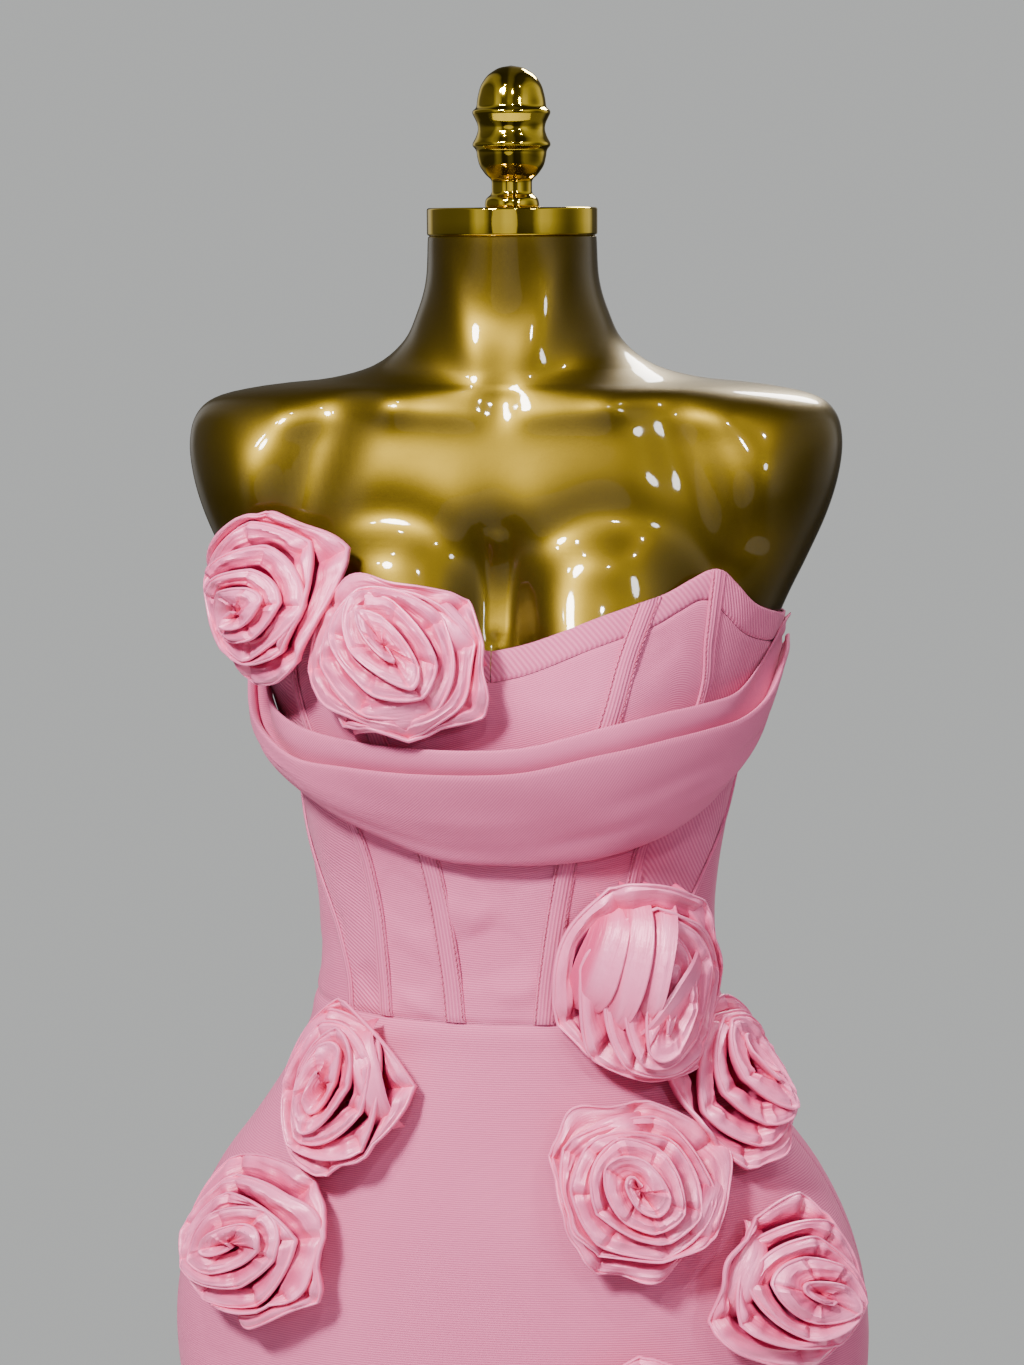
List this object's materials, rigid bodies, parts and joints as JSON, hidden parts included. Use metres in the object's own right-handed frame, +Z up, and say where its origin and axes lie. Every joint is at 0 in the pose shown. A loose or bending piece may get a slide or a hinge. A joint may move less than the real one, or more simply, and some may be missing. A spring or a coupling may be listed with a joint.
{
  "type": "bodycon dress on a dress form",
  "caption": "Strapless ribbed-knit bodycon dress with a boned bodice, pleated cowl and satin roses, worn on a limbless gold dress form on a stand.",
  "frame": {"origin": "centre of the foot's flat underside, on the floor", "axes": "+Z up along the stand's pole, -Y out of the dress's front, +X to the right of someone who looks at the front"},
  "size_m": [0.4298, 0.33, 1.5696],
  "materials": {
    "form_gold": "metallic gold lacquer under a clear coat",
    "polished_gold": "mirror polished gold plating",
    "pink_knit": "dense fine-ribbed bandage knit, matt",
    "pink_satin": "soft satin sheen",
    "pink_zip": "dyed coil zip, closed",
    "pink_zip_metal": "pink enamel"
  },
  "bodies": {
    "dress_and_form": {"form_torso": "form_gold", "neck_cap": "polished_gold", "finial": "polished_gold", "pole_collar": "polished_gold", "stand_pole": "polished_gold", "stand_foot": "polished_gold", "bodice_front": "pink_knit", "bodice_cup_left": "pink_knit", "bodice_cup_right": "pink_knit", "bodice_side_left": "pink_knit", "bodice_side_right": "pink_knit", "bodice_back_left": "pink_knit", "bodice_back_right": "pink_knit", "skirt_front": "pink_knit", "skirt_back_left": "pink_knit", "skirt_back_right": "pink_knit", "top_binding_left": "pink_knit", "top_binding_right": "pink_knit", "channel_centre_left": "pink_knit", "channel_centre_right": "pink_knit", "channel_cupSide_left": "pink_knit", "channel_cupSide_right": "pink_knit", "channel_underarm_left": "pink_knit", "channel_underarm_right": "pink_knit", "cowl_band": "pink_knit", "rose_bust_outer": "pink_satin", "rose_bust_inner": "pink_satin", "rose_waist": "pink_satin", "rose_hip_side": "pink_satin", "rose_hip_left": "pink_satin", "rose_thigh_left": "pink_satin", "rose_front_right": "pink_satin", "rose_thigh_right": "pink_satin", "rose_front_low": "pink_satin", "zip_teeth": "pink_zip", "zip_slider": "pink_zip_metal"},
    "zip_pull": {"zip_pull": "pink_zip_metal"}
  },
  "joints": [
    {"name": "zip_pull_swing", "type": "hinge", "parent": "dress_and_form", "child": "zip_pull", "pos_m": [0, 0.10654, 1.236], "axis": [1, 0, 0], "range_deg": [0, 150]}
  ]
}
